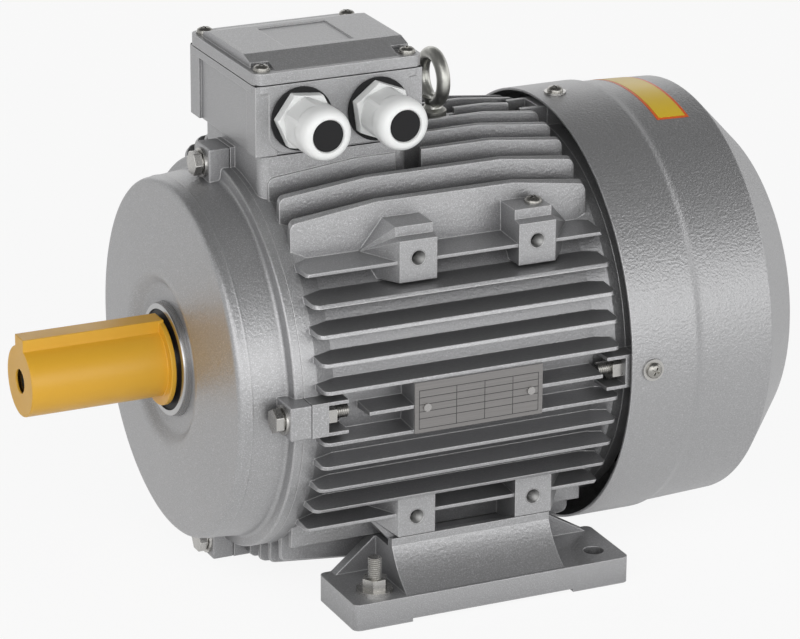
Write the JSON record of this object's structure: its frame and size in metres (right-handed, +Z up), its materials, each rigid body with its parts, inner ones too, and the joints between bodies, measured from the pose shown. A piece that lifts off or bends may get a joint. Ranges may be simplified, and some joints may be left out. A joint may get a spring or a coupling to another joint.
{
  "type": "three-phase electric motor",
  "caption": "Foot-mounted three-phase electric motor with a finned round housing, terminal box with cable glands on top, rear fan cover and a covered, keyed shaft end.",
  "frame": {"origin": "centre of the pattern of the four foot holes, on the mounting plane under the feet", "axes": "+Z up, the shaft runs along X at z 0.132 with the drive end towards -X, the cable glands look to -Y"},
  "size_m": [0.4467, 0.2668, 0.316],
  "materials": {
    "housing_paint": "semi-gloss silver-grey paint",
    "zinc_steel": "zinc plated",
    "machined_steel": "ground",
    "bearing_steel": "polished",
    "core_steel": "laminated, varnished",
    "cast_rotor_aluminium": "as cast",
    "winding_copper": "varnished copper wire",
    "terminal_brass": "bright",
    "plate_aluminium": "brushed",
    "gland_plastic": "pale grey nylon",
    "sleeve_plastic": "satin yellow",
    "black_plastic": "moulded",
    "black_rubber": "matt"
  },
  "bodies": {
    "housing": {"stator_frame": "housing_paint", "drive_end_shield": "housing_paint", "rear_shield": "housing_paint", "near_foot": "housing_paint", "far_foot": "housing_paint", "fan_cover": "housing_paint", "terminal_box": "housing_paint", "terminal_box_lid": "housing_paint", "foot_bolts": "zinc_steel", "front_shield_bolts": "zinc_steel", "front_shield_washers": "zinc_steel", "front_shield_nuts": "zinc_steel", "rear_shield_bolts": "zinc_steel", "rear_shield_nuts": "zinc_steel", "cover_screws": "zinc_steel", "cover_washers": "zinc_steel", "lid_screws": "zinc_steel", "box_screws": "zinc_steel", "earth_stud": "zinc_steel", "earth_washer": "zinc_steel", "earth_nut": "zinc_steel", "eye_bolt": "zinc_steel", "pad_screw": "zinc_steel", "nameplate": "plate_aluminium", "nameplate_rivets": "plate_aluminium", "box_gasket": "black_rubber", "lid_gasket": "black_rubber", "gland_seals": "black_rubber", "gland_bodies": "gland_plastic", "gland_caps": "gland_plastic", "gland_locknuts": "gland_plastic", "gland_plugs": "black_rubber", "terminal_block": "black_plastic", "terminal_studs": "terminal_brass", "terminal_links": "terminal_brass", "terminal_nuts": "terminal_brass", "stator_core": "core_steel", "drive_end_winding": "winding_copper", "rear_winding": "winding_copper", "drive_end_bearing_outer": "bearing_steel", "rear_bearing_outer": "bearing_steel", "preload_spring": "machined_steel", "drive_shaft_seal": "black_rubber"},
    "rotor": {"shaft": "machined_steel", "shaft_key": "machined_steel", "rotor_core": "core_steel", "rotor_end_rings": "cast_rotor_aluminium", "drive_end_bearing_inner_ring": "bearing_steel", "rear_bearing_inner_ring": "bearing_steel", "rear_shaft_seal": "black_rubber", "fan": "black_plastic", "fan_circlip": "machined_steel"},
    "sleeve": {"shaft_sleeve": "sleeve_plastic"}
  },
  "joints": [
    {"name": "rotor_spin", "type": "hinge", "parent": "housing", "child": "rotor", "pos_m": [0, 0, 0.132], "axis": [1, 0, 0], "continuous": true},
    {"name": "sleeve_slide", "type": "slide", "parent": "rotor", "child": "sleeve", "axis": [-1, 0, 0], "range_m": [0, 0.09]}
  ]
}
